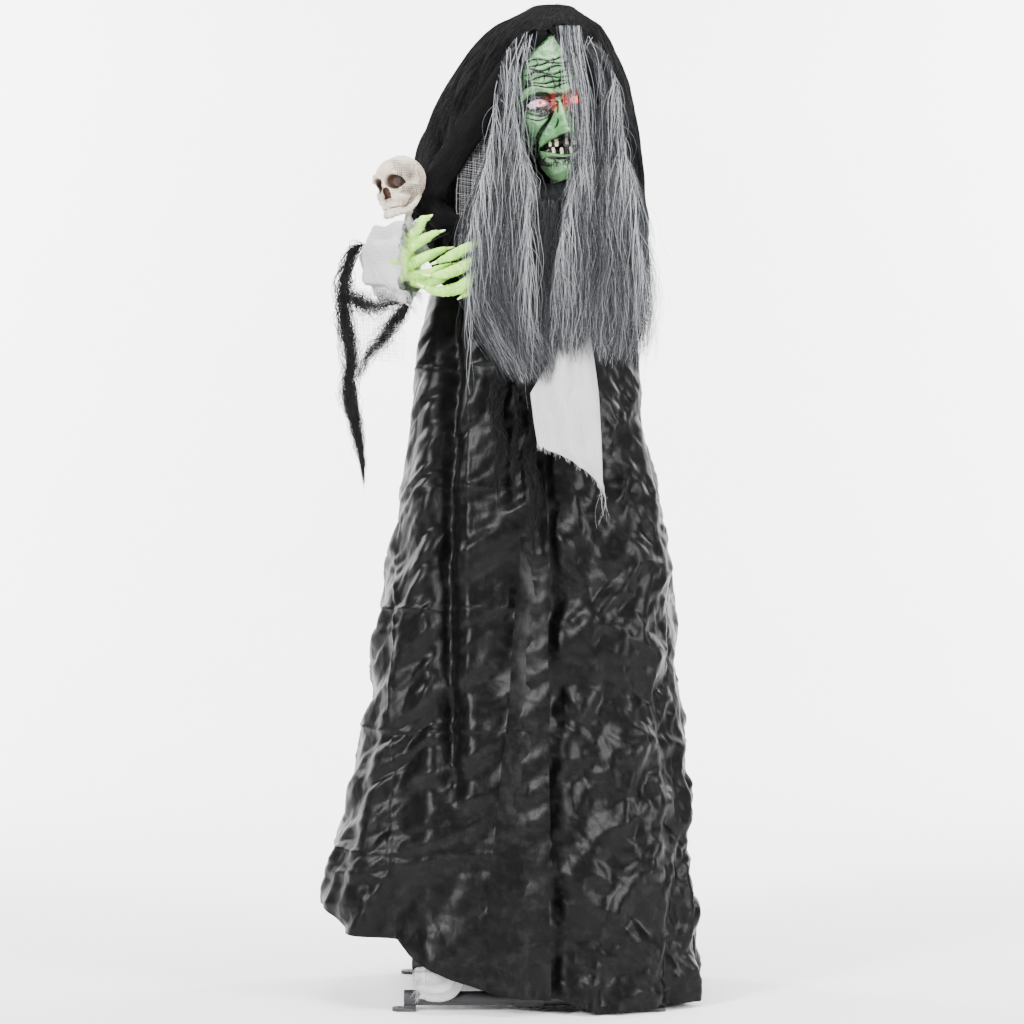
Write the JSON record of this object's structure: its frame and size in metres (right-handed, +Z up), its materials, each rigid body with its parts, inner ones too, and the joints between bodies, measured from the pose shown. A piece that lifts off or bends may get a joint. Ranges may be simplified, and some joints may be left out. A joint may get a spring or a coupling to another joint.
{
  "type": "animated witch figure",
  "caption": "Life-size standing witch figure on a steel stand, with a turning head, lit eyes, a wig, a hooded shawl, a black robe and a skull in one hand.",
  "frame": {"origin": "on the floor, at the middle of the robe's hem in width and depth", "axes": "+Z up; -Y is the front, where the face looks; +X is the figure's left hand side"},
  "size_m": [0.71, 0.5383, 1.7996],
  "materials": {
    "black_steel": "satin",
    "plain_steel": "satin",
    "fitting": "matte",
    "case": "matte",
    "robe_cloth": "satin",
    "black_gauze": "matte",
    "grey_gauze": "matte",
    "grey_net": "matte",
    "hair": "satin",
    "green_mask": "satin",
    "head_shell": "matte",
    "green_hand": "matte",
    "bone": "satin",
    "eye": "gloss",
    "eye_lamp": "gloss",
    "mouth": "gloss",
    "ivory": "gloss",
    "gear": "satin",
    "board": "satin",
    "cell": "gloss",
    "switch_red": "satin"
  },
  "bodies": {
    "stand": {"base_front_tube": "black_steel", "base_rear_tube": "black_steel", "base_spine_tube": "black_steel", "base_tees": "fitting", "pole_socket": "fitting", "foot_pads": "fitting", "lower_pole": "black_steel", "upper_pole": "black_steel", "pole_collar": "fitting", "hip_bar": "black_steel", "hip_clamp": "fitting", "shoulder_tee": "fitting", "shoulder_bar": "black_steel", "shoulder_brackets": "fitting", "pivot_bolts": "plain_steel", "frame_screws": "plain_steel", "robe": "robe_cloth", "right_leg_cover": "grey_gauze", "left_leg_cover": "grey_gauze", "shawl": "black_gauze", "net_panel": "grey_net", "hair_lower": "hair", "gauze_strips": "black_gauze", "case_body": "case", "case_front": "case", "case_screws": "plain_steel", "speaker": "mouth", "gear_motor": "plain_steel", "neck_bushes": "gear", "control_board": "board", "battery_box": "case", "battery_cells": "cell"},
    "battery_door": {"battery_door": "case"},
    "power_switch": {"power_switch": "switch_red"},
    "pole_button": {"pole_button": "plain_steel"},
    "pinion": {"drive_pinion": "gear"},
    "head": {"neck_gear": "gear", "neck_shaft": "plain_steel", "head_bracket": "case", "mask_shell": "green_mask", "head_back": "head_shell", "eyeballs": "eye", "eye_lamps": "eye_lamp", "mouth_liner": "mouth", "teeth": "ivory", "wig_cap": "black_gauze", "hair_upper": "hair", "hood_upper": "black_gauze"},
    "right_arm": {"right_arm_tube": "black_steel", "right_hand": "green_hand", "right_cuff": "grey_gauze", "right_rag": "black_gauze", "skull": "bone", "skull_peg": "bone"},
    "skull_jaw": {"skull_jaw": "bone"},
    "left_arm": {"left_arm_tube": "black_steel", "left_hand": "green_hand", "left_cuff": "grey_gauze"}
  },
  "joints": [
    {"name": "head_turn", "type": "hinge", "parent": "stand", "child": "head", "pos_m": [0.075, -0.08, 1.42], "axis": [0, 0, 1], "range_deg": [-20, 20]},
    {"name": "pinion_spin", "type": "hinge", "parent": "stand", "child": "pinion", "pos_m": [0.03125, -0.08, 1.37], "axis": [0, 0, 1], "range_deg": [-80, 80]},
    {"name": "right_shoulder", "type": "hinge", "parent": "stand", "child": "right_arm", "pos_m": [-0.076, -0.029, 1.42], "axis": [0, 1, 0], "range_deg": [0, 15]},
    {"name": "skull_jaw_hinge", "type": "hinge", "parent": "right_arm", "child": "skull_jaw", "pos_m": [-0.19751, -0.1541, 1.44637], "axis": [0.7967, -0.5789, 0.1736], "range_deg": [0, 18]},
    {"name": "left_shoulder", "type": "hinge", "parent": "stand", "child": "left_arm", "pos_m": [0.156, -0.029, 1.42], "axis": [0, -1, 0], "range_deg": [0, 8]},
    {"name": "battery_door_slide", "type": "slide", "parent": "stand", "child": "battery_door", "axis": [0, 0, -1], "range_m": [0, 0.055]},
    {"name": "power_switch_slide", "type": "slide", "parent": "stand", "child": "power_switch", "axis": [0, 0, 1], "range_m": [0, 0.006]},
    {"name": "pole_button_press", "type": "slide", "parent": "stand", "child": "pole_button", "axis": [0, 1, 0], "range_m": [0, 0.005], "stiffness_N_per_m": 400}
  ],
  "couplings": [
    {"joint": "pinion_spin", "follows": "head_turn", "ratio": -4}
  ]
}
